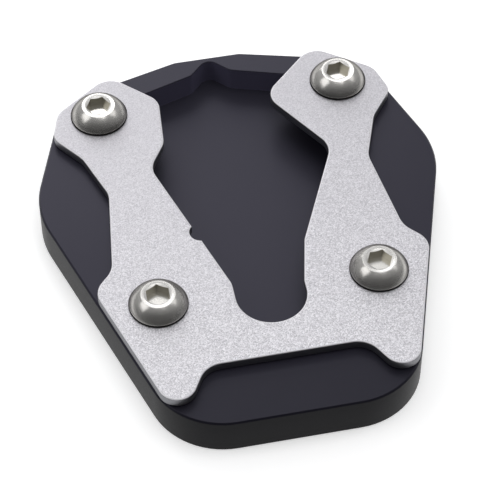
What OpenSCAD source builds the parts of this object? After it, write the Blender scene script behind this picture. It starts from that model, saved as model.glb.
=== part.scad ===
// Foot enlarger for a motorcycle side stand. A black anodised base plate is milled out for the
// foot of the stand, a silver clamp plate traps that foot, and four button head screws pull the
// clamp down. Millimetres, +Z up, origin under the middle of the sole. The front is at -Y.

/* [Base plate] */
// Length of the base, from the straight front edge to the straight far edge
base_length = 85; // [81:0.5:92]
// Thickness of the base
base_t = 7.6; // [7:0.1:12]
// Width across the front corners, before they are rounded
front_w = 41.2; // [37:0.2:45]
// Width across the two widest corners, before they are rounded
wide_w = 75.5; // [72:0.5:84]
// Distance of the widest corners from the far edge
wide_drop = 31.4; // [27:0.2:37]
// Width across the shoulders, where the long sides turn towards the far edge
shoulder_w = 61; // [58:0.5:66]
// Distance of the shoulders from the far edge
shoulder_drop = 10.5; // [8.5:0.5:12.5]
// Width across the crown corners, where the slanting far edges begin
crown_w = 43.2; // [40:0.2:47]
// Distance of the crown corners from the far edge
crown_drop = 4.1; // [3:0.1:6]
// Width of the straight far edge
flat_w = 12.6; // [8:0.2:18]
// Radius of the front corners
front_r = 13.5; // [8:0.5:16]
// Radius of the widest corners
wide_r = 18; // [8:1:24]
// Radius of the shoulder, crown and far corners
far_r = 4; // [2:0.5:5]
// Bevel along the upper outer edge of the base
base_bevel = 0.3; // [0.2:0.05:0.8]
// Bevel along the outer edge of the sole
sole_bevel = 0.15; // [0.1:0.05:0.8]

/* [Pocket for the foot of the stand] */
// Depth of the pocket below the top of the base
pocket_depth = 5; // [3.5:0.1:6]
// Width of the rim between the pocket and the far edge, at the centre line
rim_w = 4.2; // [3:0.1:6]
// Width across the far corners of the pocket
pocket_far_w = 33; // [28:0.5:34]
// How far the slanting far wall falls back towards those corners
pocket_far_drop = 4; // [2:0.1:5]
// Width of the pocket at its widest
pocket_wide_w = 41; // [36:0.5:44]
// Distance of the widest place of the pocket from the far edge
pocket_wide_drop = 30.2; // [27:0.2:35]
// Width across the front corners of the pocket
pocket_front_w = 24; // [20:0.5:26]
// Distance of the front wall of the pocket from the front edge
pocket_front_y = 17; // [14:0.5:22]
// Radius of the corners of the pocket
pocket_r = 5; // [3:0.5:7]
// Width of the pointed relief in the far wall, for the tip of the stand
nose_w = 7.5; // [5:0.5:7.5]
// Radius at the point of that relief
nose_r = 2; // [1.5:0.25:2.5]

/* [Clamp plate] */
// Thickness of the clamp plate
clamp_t = 2; // [1.5:0.1:4]
// How far the clamp stays inside the edges of the base that it follows
edge_gap = 0.25; // [0.1:0.05:1]
// Distance of the front edge of the clamp from the front edge of the base
clamp_front_y = 11.4; // [10:0.2:12.5]
// Width between the two feet of the clamp, along its front edge
feet_inner_w = 28.2; // [26:0.2:30]
// Radius of the two round feet
foot_r = 3.4; // [2.8:0.1:3.8]
// Radius of the hollow beside each foot
foot_hollow_r = 4.5; // [3:0.5:5]
// Distance of the hips, where the clamp leaves the sides of the base, from the front edge
hip_y = 31; // [29:0.2:32]
// Width between the inner corners above the hips
hip_inner_w = 52.8; // [50:0.2:54]
// Distance of those corners from the front edge
hip_inner_y = 35.2; // [34:0.2:38]
// Width of the clamp at its waist
waist_w = 48.3; // [47:0.1:50]
// Distance of the waist from the far edge
waist_drop = 32.3; // [30:0.1:36]
// Width across the roots of the ears
ear_root_w = 55; // [53:0.2:57]
// Distance of the roots of the ears from the far edge
ear_root_drop = 22.8; // [21:0.2:24.5]
// Distance of the side corners of the ears from the far edge
ear_side_drop = 16.8; // [15.5:0.2:18.5]
// How far those side corners stay inside the edge of the base
ear_side_gap = 0.6; // [0.3:0.1:1.5]
// Width across the tips of the ears
ear_tip_w = 39.2; // [36:0.2:41]
// Radius of the tips and of the outer corners of the ears and hips
ear_r = 4; // [2.5:0.25:4.5]
// Radius of the side corners of the ears
ear_side_r = 3; // [2:0.25:3.5]
// Radius of the hollows along the outer edge
hollow_r = 5; // [3:0.5:8]
// Bevel along the edges of the clamp
clamp_bevel = 0.2; // [0.1:0.05:0.4]

/* [Slot in the clamp plate] */
// Width of the round end of the slot
slot_w = 12.5; // [10:0.5:14]
// Distance of the centre of the round end from the front edge
slot_y = 24.5; // [23:0.5:25]
// Distance from the front edge at which the right side of the slot begins to open
right_throat_y = 26.2; // [25.7:0.1:28]
// Distance of the bend in the right side from the centre line
right_bend_x = 8.3; // [7.6:0.1:9]
// Distance of that bend from the front edge
right_bend_y = 35.4; // [33:0.2:38]
// Distance of the bottom of the right bay from the centre line
right_bay_x = 17.9; // [16.5:0.1:18.5]
// Distance of the bottom of the right bay from the far edge
right_bay_drop = 28.6; // [27:0.2:31]
// Distance of the right nib from the centre line
right_nib_x = 8.5; // [7.5:0.1:11]
// Distance of the right nib from the far edge
right_nib_drop = 13.7; // [13:0.1:16]
// Radius of the right nib, and of the inner corner of the left ear
nib_r = 4; // [3:0.5:5]
// Distance from the front edge at which the left side of the slot begins to open
left_throat_y = 28.1; // [26:0.1:30]
// Distance of the bottom of the left bay from the centre line
left_bay_x = 15.6; // [14.6:0.1:16.4]
// Distance of the bottom of the left bay from the far edge
left_bay_drop = 27.5; // [26:0.1:29]
// Distance of the bend above the left bay from the centre line
left_bend_x = 12.1; // [11.6:0.1:13]
// Distance of that bend from the far edge
left_bend_drop = 21.9; // [20.5:0.1:23]
// Distance of the inner corner of the left ear from the centre line
left_ear_x = 11.2; // [10.2:0.1:12]
// Distance of the inner corner of the left ear from the far edge
left_ear_drop = 11; // [10:0.2:12]
// Radius of the bays and of the bends in the slot
bay_r = 4.5; // [3:0.5:6]
// Diameter of the round bite in the left side of the slot
bite_d = 4; // [3:0.2:5]
// How far the centre of the bite lies inside the slot, measured from the side of the slot
bite_in = 0.85; // [0.4:0.05:1.2]
// Distance of the centre of the bite from the front edge
bite_y = 40.8; // [40:0.2:42]

/* [Screws] */
// Thread diameter of the screws
screw_d = 6; // [5:0.5:6]
// Length of a screw below its head
screw_length = 8; // [6:0.5:9]
// Diameter of the button head
head_d = 10.5; // [9.5:0.1:11.5]
// Height of the button head
head_h = 2.8; // [2.4:0.1:3.3]
// Height of the upright rim of the head
head_rim = 0.35; // [0.2:0.05:0.6]
// Diameter of the flat on top of the head
head_flat_d = 6.1; // [5.8:0.1:6.6]
// Width across the flats of the hexagon socket
hex_af = 4; // [3:0.5:4]
// Depth of the hexagon socket
hex_depth = 1.7; // [1.5:0.1:2.2]
// Diameter of the countersink at the mouth of the socket
hex_mouth_d = 4.8; // [4.8:0.1:5.4]
// Distance between the two front screws
front_pitch = 39.4; // [38:0.2:41]
// Distance of the front screws from the front edge
front_screw_y = 26; // [25:0.2:27.5]
// Distance between the two rear screws
rear_pitch = 45.6; // [44:0.2:47]
// Distance of the rear screws from the far edge
rear_screw_drop = 12.8; // [12:0.1:14]
// Gap round the screws in the tapped holes of the base
thread_gap = 0.05; // [0.03:0.01:0.15]
// Gap round the screws in the holes of the clamp
hole_gap = 0.25; // [0.15:0.05:0.4]
// Bevel at the mouth of each tapped hole, under the base
tap_bevel = 0.4; // [0.2:0.1:0.8]

/* [Hidden] */
$fn = 64;

// Largest angle between two neighbouring points of a rounded corner, on the large radii of the base
// and on the small radii of the clamp and the pocket
wide_step = 6;
small_step = 9;
// Overshoot of a cut past the face that it opens
cut_over = 1;
// The front edge and the far edge along Y
front_edge = -base_length / 2;
far_edge = base_length / 2;
clamp_bottom = base_t;
clamp_top = base_t + clamp_t;
// Bevel at the end of a screw
screw_tip_bevel = 0.7;
// How far the shank reaches up into the head, so that the two become one solid
head_overlap = 0.5;
// Sides of the circle that the ball of the head is turned from
ball_sides = 160;
// Steepness of the countersink at the mouth of the socket, as depth over radius
mouth_slope = 0.5;
// Half the distance that keeps the two arcs of the round end of the slot apart, as they share no point
slot_arc_gap = 0.01;
// How far each hexagon socket is turned, as the screws happened to end up when tightened
turn_front_left = 28;
turn_front_right = 5;
turn_rear_left = 2;
turn_rear_right = 8;

function unit(v) = v / norm(v);
function side(a, c, b) = cross([c.x - a.x, c.y - a.y], [b.x - c.x, b.y - c.y]) > 0 ? 1 : -1;
function half_angle(u, v) = acos(max(-1, min(1, u * v))) / 2;
function flat_point(c) = [c.x, c.y];
function before(list, i) = list[(i + len(list) - 1) % len(list)];
function after(list, i) = list[(i + 1) % len(list)];

// The arc that rounds corner c, between neighbours a and b. A corner is [x, y, radius].
function corner_arc(a, c, b, step) =
    let (u = unit(flat_point(a) - flat_point(c)))
    let (v = unit(flat_point(b) - flat_point(c)))
    let (half = half_angle(u, v))
    let (centre = flat_point(c) + unit(u + v) * c.z / sin(half))
    let (from = flat_point(c) + u * c.z / tan(half) - centre)
    let (start = atan2(from.y, from.x))
    let (sweep = side(a, c, b) * (180 - 2 * half))
    let (parts = max(2, ceil(abs(sweep) / step - 0.01)))
    [for (i = [0 : parts]) centre + c.z * [cos(start + sweep * i / parts), sin(start + sweep * i / parts)]];

// All points of a closed outline, given its corners anticlockwise
function rounded(corners, step) =
    [for (i = [0 : len(corners) - 1])
        each corner_arc(before(corners, i), corners[i], after(corners, i), step)];

// A corner moved inwards by d, so that both of its edges move by d and its arc keeps its centre
function inset_corner(a, c, b, d) =
    let (u = unit(flat_point(a) - flat_point(c)))
    let (v = unit(flat_point(b) - flat_point(c)))
    let (way = side(a, c, b))
    let (moved = flat_point(c) + way * unit(u + v) * d / sin(half_angle(u, v)))
    [moved.x, moved.y, c.z - way * d];

function inset(corners, d) =
    [for (i = [0 : len(corners) - 1])
        inset_corner(before(corners, i), corners[i], after(corners, i), d)];

// The place on the line through p and q that has the given x, or the given y
function at_x(p, q, x) = [x, p.y + (q.y - p.y) * (x - p.x) / (q.x - p.x)];
function at_y(p, q, y) = [p.x + (q.x - p.x) * (y - p.y) / (q.y - p.y), y];
function mirrored(corners) =
    [for (i = [len(corners) - 1 : -1 : 0]) [-corners[i].x, corners[i].y, corners[i].z]];

// Right half of the base outline, from the front to the far edge
base_right = [
    [front_w / 2, front_edge, front_r],
    [wide_w / 2, far_edge - wide_drop, wide_r],
    [shoulder_w / 2, far_edge - shoulder_drop, far_r],
    [crown_w / 2, far_edge - crown_drop, far_r],
    [flat_w / 2, far_edge, far_r]
];
base_corners = concat(base_right, mirrored(base_right));

// Edges of the base that the clamp follows, moved in by the gap
follow = inset(base_corners, edge_gap);
front_corner = follow[0];
wide_corner = follow[1];
shoulder_corner = follow[2];
crown_corner = follow[3];
ear_tip = at_x(crown_corner, shoulder_corner, ear_tip_w / 2);
ear_side = at_y(shoulder_corner, wide_corner, far_edge - ear_side_drop);
hip = at_y(wide_corner, front_corner, front_edge + hip_y);

// Outer edge of the clamp on the right, from the front to the tip of the ear
clamp_right = [
    [feet_inner_w / 2, front_edge + clamp_front_y, foot_hollow_r],
    [front_corner.x, front_corner.y, foot_r],
    [hip.x, hip.y, ear_r],
    [hip_inner_w / 2, front_edge + hip_inner_y, hollow_r],
    [waist_w / 2, far_edge - waist_drop, hollow_r],
    [ear_root_w / 2, far_edge - ear_root_drop, hollow_r],
    [ear_side.x - ear_side_gap + edge_gap, ear_side.y, ear_side_r],
    [shoulder_corner.x, shoulder_corner.y, ear_r],
    [ear_tip.x, ear_tip.y, ear_r]
];

// Ends of the long straight stretch on the left side of the slot, with the bite in it
left_throat = [-slot_w / 2, front_edge + left_throat_y];
left_bay = [-left_bay_x, far_edge - left_bay_drop];
bite = at_y(left_throat, left_bay, front_edge + bite_y) + [bite_in, 0];

// Inner edge of the clamp, from the right ear down round the slot and up to the left ear
slot_edge = [
    [right_nib_x, far_edge - right_nib_drop, nib_r],
    [right_bay_x, far_edge - right_bay_drop, bay_r],
    [right_bend_x, front_edge + right_bend_y, bay_r],
    [slot_w / 2, front_edge + right_throat_y, bay_r],
    [slot_w / 2, front_edge + slot_y - slot_w / 2, slot_w / 2 - slot_arc_gap],
    [-slot_w / 2, front_edge + slot_y - slot_w / 2, slot_w / 2 - slot_arc_gap],
    [left_throat.x, left_throat.y, bay_r],
    [left_bay.x, left_bay.y, bay_r],
    [-left_bend_x, far_edge - left_bend_drop, bay_r],
    [-left_ear_x, far_edge - left_ear_drop, nib_r]
];
clamp_corners = concat(clamp_right, slot_edge, mirrored(clamp_right));

// Right half of the pocket outline, from the front wall to the relief in the far wall
pocket_far = far_edge - rim_w;
pocket_right = [
    [pocket_front_w / 2, front_edge + pocket_front_y, pocket_r],
    [pocket_wide_w / 2, far_edge - pocket_wide_drop, pocket_r],
    [pocket_far_w / 2, pocket_far - pocket_far_drop, pocket_r],
    [nose_w / 2, pocket_far, nose_r]
];
pocket_corners = concat(pocket_right, [[0, pocket_far + nose_w / 2, nose_r]], mirrored(pocket_right));

screw_places = [
    [-front_pitch / 2, front_edge + front_screw_y, turn_front_left],
    [front_pitch / 2, front_edge + front_screw_y, turn_front_right],
    [-rear_pitch / 2, far_edge - rear_screw_drop, turn_rear_left],
    [rear_pitch / 2, far_edge - rear_screw_drop, turn_rear_right]
];

// A plate with no hollows in its outline, bevelled along its lower and upper edges. Its points are
// four rings, one above the other.
module bevelled_slab(corners, low, high, low_bevel, high_bevel, step) {
    edge = rounded(corners, step);
    n = len(edge);
    rings = concat(
        [for (p = rounded(inset(corners, low_bevel), step)) [p.x, p.y, low]],
        [for (p = edge) [p.x, p.y, low + low_bevel]],
        [for (p = edge) [p.x, p.y, high - high_bevel]],
        [for (p = rounded(inset(corners, high_bevel), step)) [p.x, p.y, high]]
    );
    bands = [for (k = [0 : 2], i = [0 : n - 1])
        let (j = (i + 1) % n)
        [k * n + i, (k + 1) * n + i, (k + 1) * n + j, k * n + j]];
    bottom = [for (i = [0 : n - 1]) i];
    top = [for (i = [n - 1 : -1 : 0]) 3 * n + i];
    polyhedron(points = rings, faces = concat(bands, [bottom, top]));
}

// Cuts the bevel along one edge of a plate with any outline. The face is at the given height, with
// up = 1 for the upper face and up = -1 for the lower one. The cut is a closed band with three
// sides: the bevel itself, one outside the edge of the plate and one beyond its face.
module bevel_cut(corners, face, up, bevel, step) {
    reach = bevel / 2;
    inner = rounded(inset(corners, bevel + reach), step);
    outer = rounded(inset(corners, -reach), step);
    n = len(outer);
    points = concat(
        [for (p = outer) [p.x, p.y, face - up * (bevel + reach)]],
        [for (p = outer) [p.x, p.y, face + up * reach]],
        [for (p = inner) [p.x, p.y, face + up * reach]]
    );
    faces = [for (k = [0 : 2], i = [0 : n - 1])
        let (m = (k + 1) % 3, j = (i + 1) % n)
        up > 0
            ? [k * n + i, m * n + i, m * n + j, k * n + j]
            : [k * n + i, k * n + j, m * n + j, m * n + i]];
    polyhedron(points = points, faces = faces);
}

module pocket() {
    translate([0, 0, base_t - pocket_depth])
        linear_extrude(height = pocket_depth + cut_over)
            polygon(rounded(pocket_corners, small_step));
}

// A tapped hole right through the base, bevelled where it comes out of the sole
module tapped_hole() {
    hole_d = screw_d + 2 * thread_gap;
    translate([0, 0, -cut_over])
        cylinder(d = hole_d, h = base_t + 2 * cut_over);
    translate([0, 0, -cut_over])
        cylinder(d1 = hole_d + 2 * (tap_bevel + cut_over), d2 = hole_d, h = tap_bevel + cut_over);
}

module base_plate() {
    color([0.27, 0.27, 0.31])
        difference() {
            bevelled_slab(base_corners, 0, base_t, sole_bevel, base_bevel, wide_step);
            pocket();
            for (place = screw_places)
                translate([place.x, place.y, 0])
                    tapped_hole();
        }
}

module clamp_plate() {
    color([0.84, 0.84, 0.86])
        difference() {
            translate([0, 0, clamp_bottom])
                linear_extrude(height = clamp_t)
                    polygon(rounded(clamp_corners, small_step));
            bevel_cut(clamp_corners, clamp_top, 1, clamp_bevel, small_step);
            bevel_cut(clamp_corners, clamp_bottom, -1, clamp_bevel, small_step);
            translate([bite.x, bite.y, clamp_bottom - cut_over])
                cylinder(d = bite_d, h = clamp_t + 2 * cut_over);
            for (place = screw_places)
                translate([place.x, place.y, clamp_bottom - cut_over])
                    cylinder(d = screw_d + 2 * hole_gap, h = clamp_t + 2 * cut_over);
        }
}

// Round part of the head: a ball cut off by the flat on top and by the upright rim
module button_head() {
    rim = head_d / 2;
    flat = head_flat_d / 2;
    drop = (rim * rim + head_rim * head_rim - flat * flat - head_h * head_h) / (2 * (head_h - head_rim));
    rotate_extrude()
        intersection() {
            translate([0, -drop])
                circle(r = norm([flat, head_h + drop]), $fn = ball_sides);
            square([rim, head_h]);
        }
}

// Hexagon socket with a countersunk mouth and a flat bottom
module socket() {
    corner_d = hex_af / cos(30);
    mouth_h = mouth_slope * (hex_mouth_d - hex_af) / 2;
    translate([0, 0, head_h - hex_depth])
        cylinder(d = corner_d, h = hex_depth + cut_over, $fn = 6);
    translate([0, 0, head_h - mouth_h])
        cylinder(d1 = hex_af, d2 = hex_mouth_d, h = mouth_h);
    translate([0, 0, head_h])
        cylinder(d = hex_mouth_d, h = cut_over);
}

module shank() {
    r = screw_d / 2;
    rotate_extrude()
        polygon([
            [0, head_overlap],
            [0, -screw_length],
            [r - screw_tip_bevel, -screw_length],
            [r, -screw_length + screw_tip_bevel],
            [r, head_overlap]
        ]);
}

module button_screw(place) {
    color([0.72, 0.71, 0.68])
        translate([place.x, place.y, clamp_top])
            rotate([0, 0, place.z])
                difference() {
                    union() {
                        button_head();
                        shank();
                    }
                    socket();
                }
}

base_plate();
clamp_plate();
button_screw(screw_places[0]);  // screw_front_left
button_screw(screw_places[1]);  // screw_front_right
button_screw(screw_places[2]);  // screw_rear_left
button_screw(screw_places[3]);  // screw_rear_right
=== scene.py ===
# %% [markdown]
# # A foot enlarger for the side stand of a motorcycle
#
# A side stand ends in a small flat foot that sinks into soft ground. This kit makes the foot
# larger. A black base plate is milled out for the foot, a silver clamp plate traps the foot in that
# pocket, and four button head screws pull the clamp down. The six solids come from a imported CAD
# model.

from math import cos, pi, radians, sin

import bpy
import numpy as np
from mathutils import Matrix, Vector
from mathutils.geometry import delaunay_2d_cdt


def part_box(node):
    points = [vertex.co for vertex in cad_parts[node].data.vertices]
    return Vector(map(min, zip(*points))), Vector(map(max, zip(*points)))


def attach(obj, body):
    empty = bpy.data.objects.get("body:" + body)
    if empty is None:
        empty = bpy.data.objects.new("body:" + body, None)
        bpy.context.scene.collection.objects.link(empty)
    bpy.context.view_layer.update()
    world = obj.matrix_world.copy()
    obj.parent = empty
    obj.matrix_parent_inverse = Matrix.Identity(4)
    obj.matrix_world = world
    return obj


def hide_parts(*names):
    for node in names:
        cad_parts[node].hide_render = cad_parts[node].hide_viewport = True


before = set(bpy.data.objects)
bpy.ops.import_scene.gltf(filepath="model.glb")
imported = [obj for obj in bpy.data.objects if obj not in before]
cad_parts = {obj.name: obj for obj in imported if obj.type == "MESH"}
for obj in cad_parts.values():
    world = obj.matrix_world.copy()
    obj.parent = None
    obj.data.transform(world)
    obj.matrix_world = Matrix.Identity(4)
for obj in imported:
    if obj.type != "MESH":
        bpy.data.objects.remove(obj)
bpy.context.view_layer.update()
MM = 0.001


print("CAD nodes:", sorted(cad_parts))

# %% [markdown]
# ## The camera
#
# The photograph was taken from above the front, a little to the left, with a long lens: the edges
# that run away from the camera hardly draw together. A long lens far away gives the same drawing
# here. The camera aims at a point near the middle of the part, and its own x axis stays level.

# %% Camera
SENSOR = 36
LENS = 159.84
AZIMUTH = -11.5
ELEVATION = 50.6
DISTANCE = 393.53 * MM
TARGET = Vector((-1.68, -7.7, 9.6)) * MM


def direction(azimuth, elevation):
    """The unit vector at two angles in degrees. Azimuth 0 is in front and 90 to the right."""
    a, e = radians(azimuth), radians(elevation)
    return Vector((sin(a) * cos(e), -cos(a) * cos(e), sin(e)))


def aimed(name, data, target, towards, distance):
    """Adds a camera or a lamp that looks at the target from that direction and distance."""
    made = bpy.data.objects.new(name, data)
    bpy.context.scene.collection.objects.link(made)
    made.location = target + towards * distance
    made.rotation_mode = "QUATERNION"
    made.rotation_quaternion = (-towards).to_track_quat("-Z", "Y")
    return made


camera_data = bpy.data.cameras.new("photo_camera")
camera_data.lens = LENS
camera_data.sensor_width = SENSOR
camera_data.clip_start = 0.01
camera_data.clip_end = 20
towards_camera = direction(AZIMUTH, ELEVATION)
camera = aimed("photo_camera", camera_data, TARGET, towards_camera, DISTANCE)
bpy.context.scene.camera = camera
print("camera at", [round(c, 3) for c in camera.location])

# %% [markdown]
# ## Outlines with rounded corners
#
# Both plates are cut by a milling cutter, so their outlines are straight runs that are joined by
# arcs. Such an outline could be drawn as a curve, or bevelled corner by corner. Here it is worked
# out: a corner is x, y and a radius in millimetres, and one formula turns all the corners into arcs
# at once. A second formula moves an outline inwards, as the bevel along its edge needs.

# %% Rounded outlines
ARC_PARTS = 14


def unit(v):
    """Each vector divided by its own length."""
    length = np.linalg.norm(v, axis=-1, keepdims=True)
    return v / np.where(length > 0, length, 1)


def spokes(angle):
    """A unit vector at each angle: its cos and its sin."""
    return np.stack([np.cos(angle), np.sin(angle)], axis=-1)


def corner_frame(a, c, b):
    """What the edges do at corners c, whose neighbours are a and b.

    u and v are the unit vectors from c to a and to b, half is half the angle between them, and way
    is +1 where the line turns left and -1 where it turns right.
    """
    u, v = unit(a - c), unit(b - c)
    half = np.arccos(np.clip((u * v).sum(-1), -1, 1)) / 2
    way = np.where(u[..., 1] * v[..., 0] > u[..., 0] * v[..., 1], 1.0, -1.0)
    return u, v, half, way


def arcs(a, c, b, radius, parts):
    """The arcs that round corners c, as an array with one more axis for the points of an arc.

    The centre lies on the bisector, at radius / sin(half). The arc starts where it touches the edge
    to a, at radius / tan(half) from the corner, and sweeps 180 degrees less the angle between the
    edges.
    """
    u, v, half, way = corner_frame(a, c, b)
    centre = c + unit(u + v) * (radius / np.sin(half))[..., None]
    touch = c + u * (radius / np.tan(half))[..., None] - centre
    start = np.arctan2(touch[..., 1], touch[..., 0])
    angle = start[..., None] + (way * (pi - 2 * half))[..., None] * np.linspace(0, 1, parts + 1)
    return centre[..., None, :] + radius[..., None, None] * spokes(angle)


def sunk(corners, depth):
    """The corners moved inwards by each depth in the list, and which way each corner turns.

    A corner slides along its bisector by depth / sin(half), so the edges beside it move by depth.
    """
    place = corners[:, :2]
    u, v, half, way = corner_frame(np.roll(place, 1, 0), place, np.roll(place, -1, 0))
    slide = unit(u + v) * (way / np.sin(half))[:, None]
    return place + np.atleast_1d(depth)[:, None, None] * slide, way


def outline(corners, depth):
    """Closed rounded outlines, one for each depth in the list, moved inwards by that depth.

    An outer arc loses the depth from its radius and a hollow one gains it, so every arc keeps its
    centre.
    """
    moved, way = sunk(corners, depth)
    before, after = np.roll(moved, 1, 1), np.roll(moved, -1, 1)
    radius = corners[:, 2] - way * np.atleast_1d(depth)[:, None]
    return arcs(before, moved, after, radius, ARC_PARTS).reshape(len(moved), -1, 2)


def edge_profile(steps, parts=3):
    """Depth and height of each ring of an edge, from steps of depth, height and bend radius.

    The first and the last step stay where they are, and every bend between them becomes an arc.
    """
    steps = np.array(steps, float)
    place = steps[:, :2]
    bends = arcs(place[:-2], place[1:-1], place[2:], steps[1:-1, 2], parts).reshape(-1, 2)
    return np.vstack([place[:1], bends, place[-1:]])


print("an outline has", ARC_PARTS + 1, "points at each corner")

# %% [markdown]
# ## From rings of points to a mesh
#
# A wall is a stack of rings: the same outline at the depth and height of each step of the edge
# profile. Four neighbouring points make a face, so the whole wall is a grid. A few helpers come
# first: they lift flat rings to their heights, turn a profile round an axis, and tell which points
# lie inside a ring.

# %% Rings


def ring_stack(flat, height):
    """Rings [k, n, 2] lifted to their heights [k], as points [k, n, 3]."""
    lifted = np.broadcast_to(np.asarray(height, float)[:, None, None], flat.shape[:2] + (1,))
    return np.concatenate([flat, lifted], axis=-1)


def full_turn(count):
    """That many angles, evenly round a full turn."""
    return np.linspace(0, 2 * pi, count, endpoint=False)


def turned(profile, count):
    """A profile of radius and height turned round the z axis: each ring is radius times spokes."""
    profile = np.asarray(profile, float)
    return ring_stack(profile[:, :1, None] * spokes(full_turn(count)), profile[:, 1])


def inside(points, ring):
    """Which points lie inside a ring.

    The ray from such a point towards +x crosses the edges of the ring an odd number of times.
    """
    a, b = ring[None], np.roll(ring, -1, 0)[None]
    x, y = points[:, :1], points[:, 1:]
    spans = (a[..., 1] > y) != (b[..., 1] > y)
    rise = np.where(b[..., 1] == a[..., 1], 1, b[..., 1] - a[..., 1])
    meets = a[..., 0] + (y - a[..., 1]) * (b[..., 0] - a[..., 0]) / rise
    return (spans & (x < meets)).sum(axis=1) % 2 == 1


disc = turned([[1, 0]], 12)[0, :, :2]
tried = np.array([[0, 0], [2, 0]])
print("inside a disc: its middle and a place beside it", inside(tried, disc).tolist())

# %% [markdown]
# Rings that go up give faces that point outwards, and rings that go down give the inside of a hole.
# A flat face between rings could be one many-sided face, but the pocket and the holes lie in it. So
# a routine that comes with Blender fills the whole of it with triangles, and the triangles whose
# middle lies in a hole are left out. The walls are shaded smooth and the flat faces flat, so no
# gradient creeps across a flat face. A face counts as upright where its normal rises less than 0.5:
# the flank of a cutter leaves another finish there than its end does on the flats.

# %% A skin made of grids and flat faces
UPRIGHT = 0.5
WHOLE_HULL = 0
SAME_POINT = 1e-5


def face_values(mesh, key):
    """The normal or the centre of every face of a mesh, as an array [n, 3]."""
    values = np.zeros((len(mesh.polygons), 3), np.float32)
    mesh.polygons.foreach_get(key, values.ravel())
    return values


def set_finish(piece, finish):
    """Gives every face of a piece the number of its finish."""
    piece.data.polygons.foreach_set("material_index", finish.astype(np.int32))


class Skin:
    """Collects the grids and flat faces of one piece, in millimetres, and makes its mesh."""

    def __init__(self):
        self.points, self.quads, self.flats, self.count = [], [], [], 0

    def grid(self, points):
        """Adds a stack of closed rings [k, n, 3] and returns the index of each point."""
        ids = self.count + np.arange(points.shape[0] * points.shape[1]).reshape(points.shape[:2])
        self.points.append(points.reshape(-1, 3))
        self.count += ids.size
        ahead = np.roll(ids, -1, axis=1)
        quads = np.stack([ids[:-1], ahead[:-1], ahead[1:], ids[1:]], axis=-1)
        self.quads.append(quads.reshape(-1, 4))
        return ids

    def point(self, place):
        """Adds one point and returns its index."""
        self.points.append(np.array([place], float))
        self.count += 1
        return self.count - 1

    def flat(self, rings, up):
        """Fills between the first ring and the others, which are holes.

        up says which way the face looks. The routine numbers the points in its own way, so its
        triangles are translated back to the points that were given.
        """
        ids = np.concatenate(rings)
        place = np.concatenate(self.points)[ids, :2]
        parts = np.split(np.arange(len(ids)), np.cumsum([len(ring) for ring in rings])[:-1])
        edges = np.concatenate([np.stack([part, np.roll(part, -1)], 1) for part in parts])
        filled = delaunay_2d_cdt(place.tolist(), edges.tolist(), [], WHOLE_HULL, SAME_POINT)
        corners, origins = filled[2:4]
        triangles = np.array([origin[0] for origin in origins])[np.array(corners)]
        middle = place[triangles].mean(axis=1)
        rim, *holes = [inside(middle, place[part]) for part in parts]
        triangles = ids[triangles[rim & ~np.any(holes, axis=0)]]
        self.flats.append(triangles if up else triangles[:, ::-1])

    def fan(self, ring, middle):
        """Triangles from each edge of a ring to a point in the middle."""
        self.flats.append(np.stack([ring, np.roll(ring, -1), np.full(len(ring), middle)], axis=-1))

    def piece(self, name, sharp_angle):
        """Makes the object, with its place in its mesh, in metres."""
        mesh = bpy.data.meshes.new(name)
        quads, flats = np.concatenate(self.quads), np.concatenate(self.flats)
        points = np.concatenate(self.points) * MM
        mesh.from_pydata(points.tolist(), [], quads.tolist() + flats.tolist())
        smooth = np.arange(len(quads) + len(flats)) < len(quads)
        mesh.polygons.foreach_set("use_smooth", smooth)
        mesh.set_sharp_from_angle(angle=sharp_angle)
        mesh.validate()
        made = bpy.data.objects.new(name, mesh)
        bpy.context.scene.collection.objects.link(made)
        print(name, "has", len(points), "points and", len(quads), "quads")
        return made


print("a face is upright where its normal rises less than", UPRIGHT)

# %% [markdown]
# ## Where things are
#
# The edges of the plates and the axes of the screws are read from the CAD nodes, so the new pieces
# sit where the solids do. Only the shape between those places is written down here, in the same
# millimetres as the construction: how far each corner lies from the centre line, and from the front
# or the far edge of the base.

# %% Places from the frame


def box_mm(node):
    """Lowest and highest corner of a CAD node, in millimetres."""
    low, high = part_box(node)
    return np.array(low) / MM, np.array(high) / MM


base_low, base_high = box_mm("base_plate")
clamp_low, clamp_high = box_mm("clamp_plate")
FRONT, FAR = base_low[1], base_high[1]
SOLE, BASE_TOP = base_low[2], base_high[2]
CLAMP_BOTTOM, CLAMP_TOP = clamp_low[2], clamp_high[2]

SCREWS = ["screw_front_left", "screw_front_right", "screw_rear_left", "screw_rear_right"]
screw_boxes = {name: box_mm(name) for name in SCREWS}
screw_axis = {name: (low + high)[:2] / 2 for name, (low, high) in screw_boxes.items()}
SCREW_TIP = screw_boxes[SCREWS[0]][0][2]
HEAD_TOP = screw_boxes[SCREWS[0]][1][2]
HEAD_R = np.ptp(np.stack(screw_boxes[SCREWS[0]]), axis=0)[0] / 2
print("front", round(FRONT, 2), "far", round(FAR, 2), "top of the base", round(BASE_TOP, 2))
print("screw axes", {name: axis.round(2).tolist() for name, axis in screw_axis.items()})

# %% [markdown]
# ## The outline of the base plate
#
# Seen from above the base is a blunt shield: a narrow straight front, two wide soft corners at the
# sides, and a far end that narrows in three straight steps. Both halves are alike, so the right
# half is written down and mirrored. Each corner has a name, and says x, y and its radius.

# %% Base outline


def both_halves(right, middle=()):
    """The right half, from the front to the far end, and its mirror image in the opposite order.

    middle holds the corners that lie between the two.
    """
    right = np.array(list(right.values()), float)
    return np.vstack([right, *middle, right[::-1] * [-1, 1, 1]])


base_right = {
    "front": [20.6, FRONT, 13.5],
    "widest": [37.75, FAR - 31.4, 18],
    "shoulder": [30.5, FAR - 10.5, 4],
    "crown": [21.6, FAR - 4.1, 4],
    "far": [6.3, FAR, 4],
}
base_corners = both_halves(base_right)
print("base corners:", len(base_corners))

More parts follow.
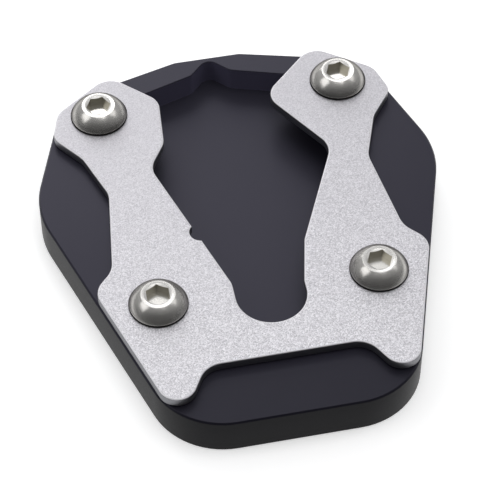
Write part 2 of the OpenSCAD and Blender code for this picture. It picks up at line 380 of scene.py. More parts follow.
# %% [markdown]
# ## The pocket
#
# The foot of the stand lies in a pocket that is milled into the top of the base. Its side walls
# widen from the front to beyond the middle, under the arms of the clamp. The far wall slants
# forward on both sides of a small pointed relief, which makes room for the tip of the stand. The
# point of the relief lies on the centre line, so it isn't mirrored. A Boolean could cut the pocket
# out of a finished plate. Here it is written down as one more outline, and its wall becomes one
# more stack of rings, which keeps the faces even.

# %% Pocket outline
POCKET_DEPTH = 5.0
POCKET_FAR = FAR - 4.2
NOSE_HALF = 3.75
NOSE_R = 2

pocket_right = {
    "front": [12, FRONT + 17, 5],
    "widest": [20.5, FAR - 30.2, 5],
    "far": [16.5, POCKET_FAR - 4, 5],
    "relief": [NOSE_HALF, POCKET_FAR, NOSE_R],
}
relief_point = [0, POCKET_FAR + NOSE_HALF, NOSE_R]
pocket_corners = both_halves(pocket_right, middle=[relief_point])
pocket_floor_z = BASE_TOP - POCKET_DEPTH
print("pocket corners:", len(pocket_corners), "and its floor at", round(pocket_floor_z, 2))

# %% [markdown]
# ## Screw threads
#
# From below, a screw's end shows at the bottom of each tapped hole, with a turn and a half of
# thread in the wall in front of it. A thread is a surface of two parameters, the angle and the
# height: its radius falls and rises with the height, and the wave is shifted by one pitch for each
# full turn. One function gives both the thread of the screw and, a little wider, the thread of the
# hole, so the two of them mesh.

# %% Thread surface
THREAD_R = 3.0
THREAD_PITCH = 1.0
THREAD_DEPTH = 0.5
THREAD_ROWS = 8
THREAD_STEEP = 1.3
THREAD_FLAT = 0.15


def thread_radius(angle, height):
    """The crest radius less the depth of the groove.

    The wave is a triangle, 0 at a crest and 1 in a groove, of height / pitch - angle / full turn.
    It is stretched and clipped, so that crests and grooves end in small flats.
    """
    turns = height / THREAD_PITCH - angle / (2 * pi)
    wave = 2 * np.abs(turns - np.round(turns))
    return THREAD_R - THREAD_DEPTH * np.clip(THREAD_STEEP * wave - THREAD_FLAT, 0, 1)


def threaded(low, high, count, wider, limit):
    """Rings of a thread between two heights. limit(height, radius) trims the thread at its ends."""
    rows = int(round(abs(high - low) / THREAD_PITCH * THREAD_ROWS))
    height = np.linspace(low, high, rows + 1)
    angle = full_turn(count)
    radius = limit(height[:, None], thread_radius(angle, height[:, None]) + wider)
    return ring_stack(radius[..., None] * spokes(angle), height)


print("thread depth", THREAD_DEPTH, "pitch", THREAD_PITCH)

# %% [markdown]
# ## The base plate
#
# The real base is milled from aluminium plate: a straight wall, a bevel along both edges, and a
# pocket whose floor meets the wall in the small radius of the cutter. All of it is made of four
# kinds of surface: the outer wall, the pocket wall, the four tapped holes, and the three flat faces
# that join them. The bends of the bevel get a small radius too, since a deburred edge is never a
# perfect line. Each face then takes one of four finishes: 0 for the milled faces, 1 for upright
# walls, and 2 and 3 for the same two inside the pocket.

# %% Base plate
TOP_BEVEL = 0.3
SOLE_BEVEL = 0.15
EDGE_BEND = 0.06
POCKET_LIP = 0.15
FLOOR_FILLET = 0.04
HOLE_COUNT = 64
TAP_GAP = 0.06
TAP_BEVEL = 0.4
PLAIN_BORE = 0.5
PLATE_SHARP = radians(40)

base_edge = edge_profile([
    [SOLE_BEVEL + 2 * EDGE_BEND, SOLE, 0],
    [SOLE_BEVEL, SOLE, EDGE_BEND],
    [0, SOLE + SOLE_BEVEL, EDGE_BEND],
    [0, BASE_TOP - TOP_BEVEL, EDGE_BEND],
    [TOP_BEVEL, BASE_TOP, EDGE_BEND],
    [TOP_BEVEL + 2 * EDGE_BEND, BASE_TOP, 0],
])
pocket_edge = edge_profile([
    [-2 * POCKET_LIP, BASE_TOP, 0],
    [-POCKET_LIP, BASE_TOP, EDGE_BEND / 2],
    [0, BASE_TOP - POCKET_LIP, EDGE_BEND / 2],
    [0, pocket_floor_z, FLOOR_FILLET],
    [2 * FLOOR_FILLET, pocket_floor_z, 0],
], parts=6)


def hole_limit(height, radius):
    """Trims the thread of a hole: a bevel at the sole, and the plain hole near its upper end."""
    mouth = THREAD_R + TAP_GAP + TAP_BEVEL - (height - SOLE)
    bored = np.where(height > BASE_TOP - PLAIN_BORE, THREAD_R + TAP_GAP, radius)
    return np.maximum(bored, mouth)


base = Skin()
wall = base.grid(ring_stack(outline(base_corners, base_edge[:, 0]), base_edge[:, 1]))
pocket = base.grid(ring_stack(outline(pocket_corners, pocket_edge[:, 0]), pocket_edge[:, 1]))
tapped = threaded(BASE_TOP, SOLE, HOLE_COUNT, TAP_GAP, hole_limit)
holes = [base.grid(tapped + [*screw_axis[name], 0]) for name in SCREWS]
base.flat([wall[-1], pocket[0]] + [hole[0] for hole in holes], up=True)
base.flat([pocket[-1]], up=True)
base.flat([wall[0]] + [hole[-1] for hole in holes], up=False)
base_plate = base.piece("base_plate_milled", PLATE_SHARP)
rise = face_values(base_plate.data, "normal")[:, 2]
middle = face_values(base_plate.data, "center") / MM
above_floor = middle[:, 2] > pocket_floor_z - POCKET_LIP
below_lip = middle[:, 2] < BASE_TOP - POCKET_LIP
in_outline = inside(middle[:, :2], outline(pocket_corners, -POCKET_LIP)[0])
# Finish 1 darkens the walls as painted shade, and finish 3 lifts the pocket wall as painted light.
set_finish(base_plate, (np.abs(rise) < UPRIGHT) + 2 * (in_outline & above_floor & below_lip))

# %% [markdown]
# ## The outline of the clamp plate
#
# The clamp follows the base along its sides, so its corners there lie on the edges of the base,
# moved in by a small gap. Two round feet point to the front, two hips stand out at the front
# screws, a waist runs up each arm, and an ear carries each rear screw. The slot between the arms is
# part of the same outline, because it is open at the far end. Its two sides differ: the right one
# has a wide bay and a nib, the left one a shallow bay and a round bite.

# %% Clamp outline
EDGE_GAP = 0.25
EAR_SIDE_GAP = 0.6
SLOT_HALF = 6.25
ARC_GAP = 0.01
SLOT_END_R = SLOT_HALF - ARC_GAP
SLOT_END = FRONT + 24.5 - SLOT_HALF
BITE_R = 2.0
BITE_IN = 0.85


def on_line(p, q, x=None, y=None):
    """The place on the line through p and q that has the given x, or the given y."""
    share = (x - p[0]) / (q[0] - p[0]) if y is None else (y - p[1]) / (q[1] - p[1])
    return p + share * (q - p)


front, widest, shoulder, crown = sunk(base_corners, EDGE_GAP)[0][0, :4]
ear_side = on_line(shoulder, widest, y=FAR - 16.8) + [EDGE_GAP - EAR_SIDE_GAP, 0]
clamp_right = {
    "notch": [14.1, FRONT + 11.4, 4.5],
    "foot": [*front, 3.4],
    "hip": [*on_line(widest, front, y=FRONT + 31), 4],
    "above_hip": [26.4, FRONT + 35.2, 5],
    "waist": [24.15, FAR - 32.3, 5],
    "ear_root": [27.5, FAR - 22.8, 5],
    "ear_side": [*ear_side, 3],
    "ear_shoulder": [*shoulder, 4],
    "ear_tip": [*on_line(crown, shoulder, x=19.6), 4],
}
left_throat = np.array([-SLOT_HALF, FRONT + 28.1])
left_bay = np.array([-15.6, FAR - 27.5])
slot_edge = {
    "right_nib": [8.5, FAR - 13.7, 4],
    "right_bay": [17.9, FAR - 28.6, 4.5],
    "right_bend": [8.3, FRONT + 35.4, 4.5],
    "right_throat": [SLOT_HALF, FRONT + 26.2, 4.5],
    "right_end": [SLOT_HALF, SLOT_END, SLOT_END_R],
    "left_end": [-SLOT_HALF, SLOT_END, SLOT_END_R],
    "left_throat": [*left_throat, 4.5],
    "left_bay": [*left_bay, 4.5],
    "left_bend": [-12.1, FAR - 21.9, 4.5],
    "left_ear": [-11.2, FAR - 11, 4],
}
clamp_corners = both_halves(clamp_right, middle=slot_edge.values())
bite_centre = on_line(left_throat, left_bay, y=FRONT + 40.8) + [BITE_IN, 0]
bite_after = (len(clamp_right) + list(slot_edge).index("left_bay")) * (ARC_PARTS + 1)


def clamp_outline(depth):
    """The rounded outline with the bite in its straight left side.

    The bite is an arc about its centre from one crossing with the side to the other: its radius
    grows by the depth, and it spans twice the angle whose cosine is the centre's distance from the
    side over that radius.
    """
    along = unit(left_bay - left_throat)
    into = np.array([-along[1], along[0]])
    depth = np.asarray(depth)[:, None]
    away = (left_throat - bite_centre) @ into + depth
    radius = BITE_R + depth
    angle = np.arccos(away / radius) * np.linspace(-1, 1, ARC_PARTS + 1)
    spoke = np.cos(angle)[..., None] * into + np.sin(angle)[..., None] * along
    bite = bite_centre + radius[..., None] * spoke
    whole = outline(clamp_corners, depth[:, 0])
    return np.insert(whole, [bite_after] * bite.shape[1], bite, axis=1)


print("clamp corners:", len(clamp_corners))

# %% [markdown]
# ## The clamp plate
#
# The clamp is cut from sheet, two millimetres thick in this model, and blasted with fine beads
# before it is anodised, which rounds its edges a little. The plate is one wall carried round the
# outline, four plain holes for the screws, and a flat face above and below. Its faces take finish 0
# for the flats, 1 for upright walls, painted darker as shade, and 2 for the rounded edges between
# them, painted pale as a thin bright highlight.

# %% Clamp plate
CLAMP_BEVEL = 0.2
BLAST_BEND = 0.3
SCREW_HOLE_GAP = 0.25
SCREW_HOLE_R = THREAD_R + SCREW_HOLE_GAP
CLAMP_LEVEL = 0.97

clamp_edge = edge_profile([
    [CLAMP_BEVEL + BLAST_BEND, CLAMP_BOTTOM, 0],
    [CLAMP_BEVEL, CLAMP_BOTTOM, BLAST_BEND],
    [0, CLAMP_BOTTOM + CLAMP_BEVEL, BLAST_BEND],
    [0, CLAMP_TOP - CLAMP_BEVEL, BLAST_BEND],
    [CLAMP_BEVEL, CLAMP_TOP, BLAST_BEND],
    [CLAMP_BEVEL + BLAST_BEND, CLAMP_TOP, 0],
])
clamp = Skin()
rim = clamp.grid(ring_stack(clamp_outline(clamp_edge[:, 0]), clamp_edge[:, 1]))
drilled = turned([[SCREW_HOLE_R, CLAMP_TOP], [SCREW_HOLE_R, CLAMP_BOTTOM]], HOLE_COUNT)
holes = [clamp.grid(drilled + [*screw_axis[name], 0]) for name in SCREWS]
clamp.flat([rim[-1]] + [hole[0] for hole in holes], up=True)
clamp.flat([rim[0]] + [hole[-1] for hole in holes], up=False)
clamp_plate = clamp.piece("clamp_plate_blasted", PLATE_SHARP)
rise = np.abs(face_values(clamp_plate.data, "normal")[:, 2])
# Finish 1 is the painted shade of the cut edges, and finish 2 the painted highlight of the round
# ones.
set_finish(clamp_plate, np.select([rise < UPRIGHT, rise < CLAMP_LEVEL], [1, 2]))

# %% [markdown]
# ## Button head screws
#
# A button head is part of a ball above a short upright rim, cut off by a flat with a hexagon
# socket in it. Below the rim the head draws in, which leaves a thin gap above the clamp. The rim
# and its undercut are painted dark, as painted shade. A lathe turns the head and a punch makes
# the socket. The piece could be a cylinder with a hole cut by a Boolean, but one grid of rings
# does it all: they run up the thread, round the head, over the flat and down into the socket,
# where each ring is bent from a circle into a hexagon. The countersink is a cone, so the hexagon
# meets it in six shallow scallops.

# %% Screw shape
RING_COUNT = 96
DOME_RINGS = 20
HEAD_RIM = 0.35
HEAD_FLAT_R = 3.05
FLAT_BEND = 0.06
HEX_HALF = 2.0
HEX_DEPTH = 1.7
MOUTH_R = 2.4
MOUTH_BEND = 0.04
MOUTH_DROP = 0.01
MOUTH_SLOPE = 0.5
TIP_BEVEL = 0.7
COLLAR = 0.9
COLLAR_R = THREAD_R - THREAD_DEPTH / 2
SEAT_GAP = 0.02
UNDERCUT = 0.8
UNDERCUT_RISE = 0.15

HEAD_H = HEAD_TOP - CLAMP_TOP
SHANK = CLAMP_TOP - SCREW_TIP


def ball_drop():
    """How far the ball's centre lies below the seat of the head.

    The ball passes through the edge of the flat, at HEAD_FLAT_R and HEAD_H, and through the top of
    the rim, at HEAD_R and HEAD_RIM. Equal distances from the centre give the drop.
    """
    squares = HEAD_R**2 + HEAD_RIM**2 - HEAD_FLAT_R**2 - HEAD_H**2
    return squares / (2 * (HEAD_H - HEAD_RIM))


def dome(parts):
    """Radius and height along the ball, from the rim up to the flat.

    They are the ball's radius times the sine and the cosine of one angle.
    """
    drop = ball_drop()
    ball = np.hypot(HEAD_FLAT_R, HEAD_H + drop)
    lean = np.linspace(np.arcsin(HEAD_R / ball), np.arcsin(HEAD_FLAT_R / ball), parts)
    return np.stack([ball * np.sin(lean), ball * np.cos(lean) - drop], axis=-1)


def hexagon(angle):
    """Radius of the hexagon at an angle: half its width over the cosine of the angle off a flat.

    The first corner lies at angle 0, so the first flat lies at 30 degrees.
    """
    off = angle % (pi / 3) - pi / 6
    return HEX_HALF / np.cos(off)


def shank_limit(height, radius):
    """Trims the thread of a screw: a bevel at its end, and a plain collar under the head."""
    end = THREAD_R - TIP_BEVEL + (height + SHANK)
    kept = np.where(height > -COLLAR, COLLAR_R, radius)
    return np.minimum(kept, end)


def screw_rings():
    """All the rings of a screw: from the edge of its end up, over, and down to the socket's floor."""
    shank = threaded(-SHANK, -SEAT_GAP, RING_COUNT, 0, shank_limit)
    head = np.vstack([
        [[COLLAR_R, 0], [HEAD_R - UNDERCUT, 0], [HEAD_R, UNDERCUT_RISE]],
        dome(DOME_RINGS),
        [[HEAD_FLAT_R - FLAT_BEND, HEAD_H], [MOUTH_R + MOUTH_BEND, HEAD_H]],
        [[MOUTH_R, HEAD_H - MOUTH_DROP]],
    ])
    angle = full_turn(RING_COUNT)
    six = hexagon(angle)
    scallop = HEAD_H - (MOUTH_R - six) * MOUTH_SLOPE
    bottom = np.full(RING_COUNT, HEAD_H - HEX_DEPTH)
    socket = [np.column_stack([six[:, None] * spokes(angle), z]) for z in (scallop, bottom)]
    return np.concatenate([shank, turned(head, RING_COUNT), socket])


rings = screw_rings()
print("a screw has", rings.shape[0], "rings of", rings.shape[1], "points")

# %% [markdown]
# ## Four screws
#
# All four screws are the same piece. Each one ended at its own angle when it was tightened, which
# the sockets show. The rings are turned by that angle and moved to the screw's axis. Every point
# also keeps its place on the screw itself as an attribute of the mesh, so the finish can follow the
# lathe.

# %% Screws
SOCKET_TURN = dict(zip(SCREWS, np.radians([28, 5, 2, 8])))
SCREW_SHARP = radians(32)
SCREW_LEVEL = 0.99
RIM_SHADE = 0.5


def make_screw(name):
    """One screw on its axis, with its socket turned by its own angle about the axis.

    Its faces take finish 0 for the turned shape, 1 for the walls of the socket, 2 for its floor, 3
    for the flat round it, 4 for the rim of the head with the undercut below it, painted dark as
    shade, and 5 for the countersink at the mouth of the socket.
    """
    turn = SOCKET_TURN[name]
    spun = rings[..., :2] @ np.array([[cos(turn), sin(turn)], [-sin(turn), cos(turn)]])
    seat = np.array([*screw_axis[name], CLAMP_TOP])
    screw = Skin()
    ids = screw.grid(np.concatenate([spun, rings[..., 2:]], axis=-1) + seat)
    tip, socket_floor = [screw.point(seat + [0, 0, z]) for z in (-SHANK, HEAD_H - HEX_DEPTH)]
    screw.fan(ids[0][::-1], tip)
    screw.fan(ids[-1], socket_floor)
    made = screw.piece(name + "_turned", SCREW_SHARP)
    centre = face_values(made.data, "center") / MM - seat
    reach, height = np.hypot(centre[:, 0], centre[:, 1]), centre[:, 2]
    rise = face_values(made.data, "normal")[:, 2]
    level = rise > SCREW_LEVEL
    # Finish 4 paints the rim and the undercut below RIM_SHADE dark, as painted shade.
    cases = [
        height < 0,
        level & (height < HEAD_H - HEX_DEPTH / 2),
        level,
        height < RIM_SHADE,
        (np.abs(rise) < UPRIGHT) & (reach < MOUTH_R),
        reach < MOUTH_R,
    ]
    set_finish(made, np.select(cases, [0, 2, 3, 4, 1, 5]))
    kept = made.data.attributes.new("place_on_screw", "FLOAT_VECTOR", "POINT")
    local = np.concatenate(screw.points) - seat
    kept.data.foreach_set("vector", local.astype(np.float32).ravel())
    return made


screws = {name: make_screw(name) for name in SCREWS}

# %% [markdown]
# ## Finishes
#
# A finish could be a picture that is wrapped round the piece. Here each one is a small tree of
# nodes round one Principled shader, because noise needs no picture and never shows a seam. Patterns
# read Object coordinates, turned into millimetres by a Mapping node, so a scale of 3 means three
# grains to the millimetre. A few helpers keep the trees short.

# %% Helpers for the finishes
NOISE_RANGE = (0.3, 0.7)


def add_node(tree, kind, links=(), **values):
    """Adds a node, sets its values, and links (input name, output socket) pairs to it."""
    made = tree.nodes.new(kind)
    for key, value in values.items():
        setattr(made, key, value)
    for name, socket in links:
        tree.links.new(socket, made.inputs[name])
    return made


def map_range(tree, value, numbers, **values):
    """Maps one range to another. The numbers are its low and high end, then the new ones."""
    made = add_node(tree, "ShaderNodeMapRange", [("Value", value)], **values)
    for name, number in zip(("From Min", "From Max", "To Min", "To Max"), numbers):
        made.inputs[name].default_value = number
    return made.outputs["Result"]


class Finish:
    """A material and the helpers that add nodes to it."""

    def __init__(self, name, metallic, specular=0.5, tint=(1, 1, 1)):
        self.material = bpy.data.materials.new(name)
        self.material.use_nodes = True
        self.tree = self.material.node_tree
        self.shader = self.tree.nodes["Principled BSDF"]
        self.shader.inputs["Metallic"].default_value = metallic
        self.shader.inputs["Specular IOR Level"].default_value = specular
        self.shader.inputs["Specular Tint"].default_value = (*tint, 1)

    def node(self, kind, links=(), **values):
        """Adds a node to this material, in the way of add_node."""
        return add_node(self.tree, kind, links, **values)

    def in_millimetres(self):
        """Object coordinates in millimetres."""
        place = self.node("ShaderNodeTexCoord").outputs["Object"]
        scaled = self.node("ShaderNodeMapping", [("Vector", place)])
        scaled.inputs["Scale"].default_value = [1 / MM] * 3
        return scaled.outputs["Vector"]

    def noise(self, place, per_mm, detail=2):
        """Soft noise with that many blotches to the millimetre."""
        made = self.node("ShaderNodeTexNoise", [("Vector", place)])
        made.inputs["Scale"].default_value = per_mm
        made.inputs["Detail"].default_value = detail
        return made.outputs["Fac"]

    def grains(self, place, per_mm):
        """A random grey for each of the small cells that fill space, like blasted dimples."""
        made = self.node("ShaderNodeTexVoronoi", [("Vector", place)])
        made.inputs["Scale"].default_value = per_mm
        parted = self.node("ShaderNodeSeparateColor", [("Color", made.outputs["Color"])])
        return parted.outputs["Red"]

    def spread(self, value, low, high, out_low, out_high):
        """Maps low..high to out_low..out_high."""
        return map_range(self.tree, value, (low, high, out_low, out_high))

    def blend(self, share, dark, light):
        """A colour between dark and light."""
        made = self.node("ShaderNodeMix", [("Factor", share)], data_type="RGBA")
        made.inputs["A"].default_value = (*dark, 1)
        made.inputs["B"].default_value = (*light, 1)
        return made.outputs["Result"]

    def sum_of(self, one, other, share):
        """one + other * share."""
        made = self.node("ShaderNodeMath", [(0, other), (2, one)], operation="MULTIPLY_ADD")
        made.inputs[1].default_value = share
        return made.outputs["Value"]

    def drive(self, name, socket):
        """Links a socket to an input of the shader."""
        self.tree.links.new(socket, self.shader.inputs[name])

    def roughen(self, noise, low, high):
        """Roughness between low and high. Most of a noise lies in NOISE_RANGE."""
        self.drive("Roughness", self.spread(noise, *NOISE_RANGE, low, high))

    def even(self, colour, rough):
        """One colour and one roughness, for the small surfaces."""
        self.shader.inputs["Base Color"].default_value = (*colour, 1)
        self.shader.inputs["Roughness"].default_value = rough

    def bump(self, height, depth_mm, strength):
        """Bump of the given depth in millimetres."""
        made = self.node("ShaderNodeBump", [("Height", height)])
        made.inputs["Distance"].default_value = depth_mm * MM
        made.inputs["Strength"].default_value = strength
        self.drive("Normal", made.outputs["Normal"])


print("finishes read object coordinates in millimetres")

# %% [markdown]
# ## Black anodised base
#
# Black anodising is a dyed oxide layer on aluminium. It is nearly black, faintly violet, and has a
# satin gloss that shows pale reflections of a bright studio. Slow noise varies the dye a little,
# and a fine grain breaks up the gloss. The ledge in front of the clamp is painted darker than the
# rest, as painted shade.

# %% Black anodising
BLACK_DEEP = (0.0034, 0.0032, 0.0060)
BLACK_PALE = (0.0130, 0.0121, 0.0192)
BLACK_TINT = (0.81, 0.79, 1.0)
CLOUDS_PER_MM = 0.12
CLOUD_SHARE = 0.2
LEDGE_SHADE_ENDS = (-34, -31)
BEHIND_LEDGE_SHADE = 0.9
GRAINS_PER_MM = 5.0
GRAIN_DEPTH = 0.004
ROUGH_SWING = 0.04


def black_face(name, specular, rough):
    """The satin finish of a face that was milled with the end of a cutter."""
    black = Finish(name, metallic=0.0, specular=specular, tint=BLACK_TINT)
    place = black.in_millimetres()
    cloud = black.noise(place, CLOUDS_PER_MM, detail=3)
    grain = black.noise(place, GRAINS_PER_MM)
    along = black.node("ShaderNodeSeparateXYZ", [("Vector", place)]).outputs["Y"]
    # Painted shade: the colour share falls towards the front, so the ledge is darker.
    dye_and_ledge_shade = black.sum_of(black.spread(along, *LEDGE_SHADE_ENDS, 0, BEHIND_LEDGE_SHADE), cloud, CLOUD_SHARE)
    black.drive("Base Color", black.blend(dye_and_ledge_shade, BLACK_DEEP, BLACK_PALE))
    black.roughen(grain, rough - ROUGH_SWING, rough + ROUGH_SWING)
    black.bump(grain, GRAIN_DEPTH, strength=0.5)
    return black


black = black_face("black_anodising", specular=0.39, rough=0.34)
pocket_floor = black_face("black_anodising_pocket_floor", specular=0.47, rough=0.46)
print("made", black.material.name, "and", pocket_floor.material.name)

# %% [markdown]
# The walls were milled with the flank of the cutter. They came out more matt, and mirror the floor
# less than the faces mirror the studio. Their colour is painted darker than the tops, as painted
# shade. The wall of the pocket is painted far paler instead, as painted light in its shade.

# %% Black walls
WALL_TINT = (0.9, 0.9, 1.0)

# Painted shade: the walls take a darker black than the tops.
black_wall = Finish("black_anodising_wall", metallic=0.0, specular=0.10, tint=WALL_TINT)
grain = black_wall.noise(black_wall.in_millimetres(), GRAINS_PER_MM)
black_wall.shader.inputs["Base Color"].default_value = (0.0060, 0.0058, 0.0064, 1)
black_wall.roughen(grain, 0.34, 0.44)
black_wall.bump(grain, GRAIN_DEPTH, strength=0.5)

# Painted light: the pocket wall is far paler than the other black faces.
pocket_wall = Finish("black_anodising_pocket_wall", metallic=0.0, specular=0.3, tint=WALL_TINT)
pocket_wall.even((0.094, 0.088, 0.140), rough=0.5)
print("made", black_wall.material.name, "and", pocket_wall.material.name)

# %% [markdown]
# ## Blasted silver clamp
#
# The clamp was blasted with fine beads and anodised without dye. Countless dimples, a few tenths of
# a millimetre wide, each send the light their own way, so the plate sparkles softly instead of
# mirroring. A random grey for each small cell and a finer noise give that sparkle. It grows calmer
# towards the far end, as the photograph shows.

# %% Silver anodising
SILVER_DARK = (0.38, 0.37, 0.40)
SILVER_BRIGHT = (0.84, 0.83, 0.86)
DIMPLES_PER_MM = 5.4
DUST_PER_MM = 6.5
DIMPLE_SHARE = 0.5
SPARKLE_RANGE = (0.45, 1.05)
CALM_VALUE = 0.58
CALM_ENDS = (-30, 30)
CALM_SHARE = 0.55

silver = Finish("silver_anodising", metallic=0.75)
place = silver.in_millimetres()
dimples = silver.grains(place, DIMPLES_PER_MM)
glitter = silver.sum_of(silver.noise(place, DUST_PER_MM), dimples, DIMPLE_SHARE)
along = silver.node("ShaderNodeSeparateXYZ", [("Vector", place)]).outputs["Y"]
calm = silver.spread(along, *CALM_ENDS, 0, CALM_SHARE)
calmed = silver.node("ShaderNodeMix", [("Factor", calm), ("A", glitter)])
calmed.inputs["B"].default_value = CALM_VALUE
sparkle = calmed.outputs["Result"]
bright = silver.spread(sparkle, *SPARKLE_RANGE, 0, 1)
silver.drive("Base Color", silver.blend(bright, SILVER_DARK, SILVER_BRIGHT))
silver.drive("Roughness", silver.spread(dimples, 0, 1, 0.42, 0.62))
silver.bump(sparkle, 0.022, strength=0.8)
print("made", silver.material.name, "with", DIMPLES_PER_MM, "dimples to the millimetre")

# %% [markdown]
# The cut edges of the plate are painted darker, as painted shade. The rounded edge between them
# and the flats is painted pale, as a painted highlight that reads as a thin bright line.

# %% Edges of the clamp
# Painted shade: the cut edges are darker.
shaded_cut_silver = Finish("silver_anodising_edge", metallic=1.0)
shaded_cut_silver.even((0.22, 0.22, 0.235), rough=0.46)
# Painted highlight: the rounded edges are pale.
highlight_edge = Finish("silver_anodising_highlight_edge", metallic=0.25)
highlight_edge.even((0.80, 0.79, 0.82), rough=0.5)
print("made", shaded_cut_silver.material.name, "and", highlight_edge.material.name)

# %% [markdown]
# ## Stainless screws
#
# The screws are stainless steel, turned and lightly tumbled. The cutting tool leaves fine rings
# about the axis, so the noise reads the distance from the axis and the height, and nothing changes
# along a ring. Just above the rim the dome has a narrow light band, a painted reflection. Over
# that band it is painted dark, as painted shade, and it brightens towards the flat as painted
# light, with a few soft smudges.

# %% Turned stainless steel
STEEL_DARK = (0.145, 0.142, 0.135)
STEEL_BRIGHT = (0.60, 0.585, 0.56)
STEEL_RANGE = (0.1, 1.2)
DOME_SHADE_FADE = (0.3, 1.4)
RIM_REFLECTION_FADE = (RIM_SHADE, RIM_SHADE + 0.2)
RIM_REFLECTION_SHARE = 0.9
SMUDGES_PER_MM = 0.9
SMUDGE_SHARE = 0.3
MARKS_PER_MM = 9.0

steel = Finish("stainless_steel", metallic=1.0, tint=(0.15, 0.15, 0.15))
kept = steel.node("ShaderNodeAttribute", attribute_name="place_on_screw").outputs["Vector"]
parted = steel.node("ShaderNodeSeparateXYZ", [("Vector", kept)]).outputs
level = steel.node("ShaderNodeCombineXYZ", [("X", parted["X"]), ("Y", parted["Y"])]).outputs["Vector"]
reach = steel.node("ShaderNodeVectorMath", [(0, level)], operation="LENGTH").outputs["Value"]
lathe = steel.node("ShaderNodeCombineXYZ", [("X", reach), ("Y", parted["Z"])]).outputs["Vector"]
marks = steel.noise(lathe, MARKS_PER_MM)
smudge = steel.noise(kept, SMUDGES_PER_MM)
# Painted shade and light: darker low on the dome, brighter towards the flat, and a painted reflection
# band just above the rim.
dome_shade_and_smudges = steel.sum_of(steel.spread(parted["Z"], *DOME_SHADE_FADE, 0, 1), smudge, SMUDGE_SHARE)
rim_reflection = steel.spread(parted["Z"], *RIM_REFLECTION_FADE, 1, 0)
light = steel.spread(steel.sum_of(dome_shade_and_smudges, rim_reflection, RIM_REFLECTION_SHARE), *STEEL_RANGE, 0, 1)
steel.drive("Base Color", steel.blend(light, STEEL_DARK, STEEL_BRIGHT))
steel.roughen(marks, 0.20, 0.27)
steel.shader.inputs["Anisotropic"].default_value = 0.45
steel.drive("Tangent", level)
steel.bump(marks, 0.003, strength=0.5)
print("made", steel.material.name, "with", MARKS_PER_MM, "marks to the millimetre")

# %% [markdown]
# The punch leaves the walls of the socket rougher and darker, with an olive tone, and presses its
# floor smooth. The flat round it is faced bright, the rim and its undercut are painted nearly
# black as shade, and keys have rubbed the countersink dull.

# %% Other surfaces of the screws
punched = Finish("stainless_steel_punched", metallic=1.0)
punched.even((0.30, 0.285, 0.235), rough=0.34)
pressed = Finish("stainless_steel_pressed", metallic=1.0)
pressed.even((0.90, 0.88, 0.84), rough=0.22)
faced = Finish("stainless_steel_faced", metallic=1.0)
faced.even((0.76, 0.745, 0.72), rough=0.24)
# Painted shade: the rim and the undercut are nearly black.
shaded_rim = Finish("stainless_steel_shaded_rim", metallic=1.0, tint=(0.1, 0.1, 0.1))
shaded_rim.even((0.030, 0.029, 0.028), rough=0.5)
rubbed = Finish("stainless_steel_rubbed", metallic=0.8)
rubbed.even((0.58, 0.57, 0.55), rough=0.45)
screw_finishes = [steel, punched, pressed, faced, shaded_rim, rubbed]
print("a screw has", len(screw_finishes), "finishes")

# %% [markdown]
# ## Each piece takes the place of its solid
#
# Every new piece rides on the one body of the part, takes its finishes, and hides its CAD node.

# %% Pieces, bodies and finishes


def dress(piece, node, finish):
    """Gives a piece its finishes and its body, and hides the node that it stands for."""
    for one in finish:
        piece.data.materials.append(one.material)
    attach(piece, "root")
    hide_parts(node)


dress(base_plate, "base_plate", [black, black_wall, pocket_floor, pocket_wall])
dress(clamp_plate, "clamp_plate", [silver, shaded_cut_silver, highlight_edge])
for name, screw in screws.items():
    dress(screw, name, screw_finishes)
print("dressed", 2 + len(screws), "pieces")

# %% [markdown]
# ## The floor
#
# The photograph has a pure white ground. The floor here is a matt white sheet that still takes the
# part's shadow. To the camera, and in reflections, it glows a little on top of that, just enough to
# reach white. Seen from below it is clear, so that the sole can be looked at too.

# %% Floor sheet
FLOOR_HALF = 3.0
FLOOR_Z = -0.02 * MM

sheet = bpy.data.meshes.new("floor_sheet")
sheet.from_pydata(
    [(x * FLOOR_HALF, y * FLOOR_HALF, FLOOR_Z) for x, y in ((-1, -1), (1, -1), (1, 1), (-1, 1))],
    [], [(0, 1, 2, 3)])
ground = bpy.data.objects.new("floor_sheet", sheet)
bpy.context.scene.collection.objects.link(ground)
print("floor", 2 * FLOOR_HALF, "m wide")

# %% [markdown]
# The glow is switched by the kind of ray: it is on for rays from the camera and for reflections.
# The back of the sheet is transparent.

# %% Floor material
FLOOR_WHITE = 0.84
FLOOR_GLOW = 0.42

white = bpy.data.materials.new("white_floor")
white.use_nodes = True
tree = white.node_tree
tree.nodes.clear()
path = add_node(tree, "ShaderNodeLightPath").outputs
mirrored = add_node(tree, "ShaderNodeMath", [
    (0, path["Is Glossy Ray"]), (1, path["Is Transmission Ray"])], operation="MAXIMUM")
seen = add_node(tree, "ShaderNodeMath", [
    (0, path["Is Camera Ray"]), (1, mirrored.outputs["Value"])], operation="MAXIMUM")
strength = add_node(tree, "ShaderNodeMath", [(0, seen.outputs["Value"])], operation="MULTIPLY")
strength.inputs[1].default_value = FLOOR_GLOW
glow = add_node(tree, "ShaderNodeEmission", [("Strength", strength.outputs["Value"])])
matt = add_node(tree, "ShaderNodeBsdfDiffuse")
matt.inputs["Color"].default_value = (FLOOR_WHITE, FLOOR_WHITE, FLOOR_WHITE, 1)
both = add_node(tree, "ShaderNodeAddShader", [
    (0, matt.outputs["BSDF"]), (1, glow.outputs["Emission"])])
clear = add_node(tree, "ShaderNodeBsdfTransparent")
side = add_node(tree, "ShaderNodeNewGeometry")
choice = add_node(tree, "ShaderNodeMixShader", [
    ("Fac", side.outputs["Backfacing"]), (1, both.outputs["Shader"]), (2, clear.outputs["BSDF"])])
add_node(tree, "ShaderNodeOutputMaterial", [("Surface", choice.outputs["Shader"])])
sheet.materials.append(white)
print("the floor glows by", FLOOR_GLOW, "on top of its white", FLOOR_WHITE)

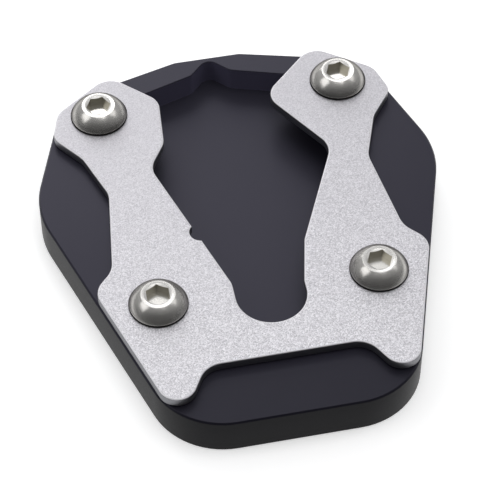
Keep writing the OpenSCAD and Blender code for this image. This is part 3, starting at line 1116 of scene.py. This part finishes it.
# %% [markdown]
# ## Light
#
# The studio is a pale room that is brightest behind and above the part, where the flat faces mirror
# it towards the camera, and dimmer in front, which keeps the bevels and the front of each screw
# head dark. The world gives that slow change: its strength follows the cosine of the angle between
# a ray and the direction in which a level face mirrors the camera's view.

# %% World
WORLD_DARK = 0.10
WORLD_LIGHT = 0.60
WORLD_COSINES = (-0.2, 0.9)
WORLD_COLOUR = (0.985, 0.99, 1.0)

world = bpy.data.worlds.new("studio")
world.use_nodes = True
bpy.context.scene.world = world
tree = world.node_tree
where = add_node(tree, "ShaderNodeTexCoord").outputs["Generated"]
towards = add_node(tree, "ShaderNodeVectorMath", [(0, where)], operation="DOT_PRODUCT")
towards.inputs[1].default_value = (-towards_camera.x, -towards_camera.y, towards_camera.z)
fade = map_range(tree, towards.outputs["Value"], (*WORLD_COSINES, WORLD_DARK, WORLD_LIGHT),
                 interpolation_type="SMOOTHSTEP")
background = tree.nodes["Background"]
tree.links.new(fade, background.inputs["Strength"])
background.inputs["Color"].default_value = (*WORLD_COLOUR, 1)
print("world from", WORLD_DARK, "to", WORLD_LIGHT)

# %% [markdown]
# Four soft boxes stand round the part. The one behind gives the sheen and the soft shadows, the one
# above lights the flats, and a weaker one on each side reaches the walls.

# %% Soft boxes


def soft_box(name, azimuth, elevation, distance, width, radiance):
    """A square lamp that faces the part, as bright as a screen of that radiance.

    A square of width w sends out radiance * pi * w * w.
    """
    lamp = bpy.data.lights.new(name, "AREA")
    lamp.shape = "SQUARE"
    lamp.size = width
    lamp.energy = radiance * pi * width * width
    aimed(name, lamp, Vector(), direction(azimuth, elevation), distance)
    print(name, "sends out", round(lamp.energy, 2), "W")


soft_box("rear_box", azimuth=187, elevation=31.5, distance=0.95, width=0.64, radiance=2.0)
soft_box("top_box", azimuth=70, elevation=84, distance=0.90, width=0.50, radiance=2.9)
soft_box("left_box", azimuth=-95, elevation=44, distance=1.20, width=0.62, radiance=1.35)
soft_box("right_box", azimuth=95, elevation=44, distance=1.20, width=0.50, radiance=0.95)

# %% [markdown]
# ## The last step
#
# The picture is shown without any film look.

# %% Finish
bpy.context.scene.view_settings.view_transform = "Standard"
